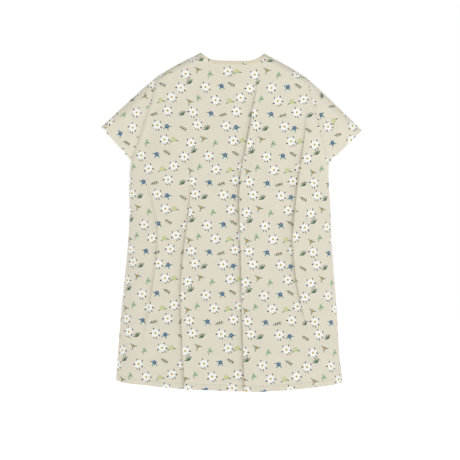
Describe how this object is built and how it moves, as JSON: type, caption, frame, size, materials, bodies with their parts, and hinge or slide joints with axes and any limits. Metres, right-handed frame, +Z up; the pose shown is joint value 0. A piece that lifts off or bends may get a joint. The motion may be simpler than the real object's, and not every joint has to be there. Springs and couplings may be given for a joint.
{
  "type": "patient gown",
  "caption": "Short-sleeved hospital patient gown of printed cotton, with a one-piece back, a bound neck, and overlapping fronts closed by press snaps.",
  "frame": {"origin": "the middle of the neck opening, level with the two neck points, where the hanger's hook stands", "axes": "+Z up as the gown hangs, +X to the wearer's right, +Y towards the wearer's front, where the gown opens; the one-piece back faces -Y"},
  "size_m": [0.827, 0.158, 1.0801],
  "materials": {
    "printed_cotton": "plain-weave cotton with an all-over small print",
    "neck_binding_cotton": "the same printed cotton, cut as a binding strip",
    "tape_cotton": "woven cotton stay tape",
    "snap_resin": "moulded resin, satin"
  },
  "bodies": {
    "gown_body": {"back_panel": "printed_cotton", "right_front_side": "printed_cotton", "left_front_side": "printed_cotton", "back_neck_binding": "neck_binding_cotton", "right_shoulder_binding": "neck_binding_cotton", "left_shoulder_binding": "neck_binding_cotton", "right_shoulder_tape": "tape_cotton", "left_shoulder_tape": "tape_cotton"},
    "right_front": {"right_front_flap": "printed_cotton", "right_front_facing": "printed_cotton", "right_neck_binding": "neck_binding_cotton", "snap_cap_1": "snap_resin", "snap_cap_2": "snap_resin", "snap_cap_3": "snap_resin", "snap_cap_4": "snap_resin", "snap_cap_5": "snap_resin", "snap_cap_6": "snap_resin", "snap_socket_1": "snap_resin", "snap_socket_2": "snap_resin", "snap_socket_3": "snap_resin", "snap_socket_4": "snap_resin", "snap_socket_5": "snap_resin", "snap_socket_6": "snap_resin"},
    "left_front": {"left_front_flap": "printed_cotton", "left_front_facing": "printed_cotton", "left_neck_binding": "neck_binding_cotton", "snap_stud_1": "snap_resin", "snap_stud_2": "snap_resin", "snap_stud_3": "snap_resin", "snap_stud_4": "snap_resin", "snap_stud_5": "snap_resin", "snap_stud_6": "snap_resin", "snap_back_1": "snap_resin", "snap_back_2": "snap_resin", "snap_back_3": "snap_resin", "snap_back_4": "snap_resin", "snap_back_5": "snap_resin", "snap_back_6": "snap_resin"},
    "right_sleeve_tube": {"right_sleeve": "printed_cotton"},
    "left_sleeve_tube": {"left_sleeve": "printed_cotton"}
  },
  "joints": [
    {"name": "right_front_fold", "type": "hinge", "parent": "gown_body", "child": "right_front", "pos_m": [0.1635, 0.059, -0.54], "axis": [0.1329, 0.0458, -0.9901], "range_deg": [0, 130]},
    {"name": "left_front_fold", "type": "hinge", "parent": "gown_body", "child": "left_front", "pos_m": [-0.1635, 0.059, -0.54], "axis": [0.1329, -0.0458, 0.9901], "range_deg": [0, 65]},
    {"name": "right_sleeve_lift", "type": "hinge", "parent": "gown_body", "child": "right_sleeve_tube", "pos_m": [0.238, 0, -0.071], "axis": [0, -1, 0], "range_deg": [0, 25]},
    {"name": "left_sleeve_lift", "type": "hinge", "parent": "gown_body", "child": "left_sleeve_tube", "pos_m": [-0.238, 0, -0.071], "axis": [0, 1, 0], "range_deg": [0, 25]}
  ],
  "couplings": [
    {"joint": "left_front_fold", "follows": "right_front_fold", "ratio": 0.5}
  ]
}
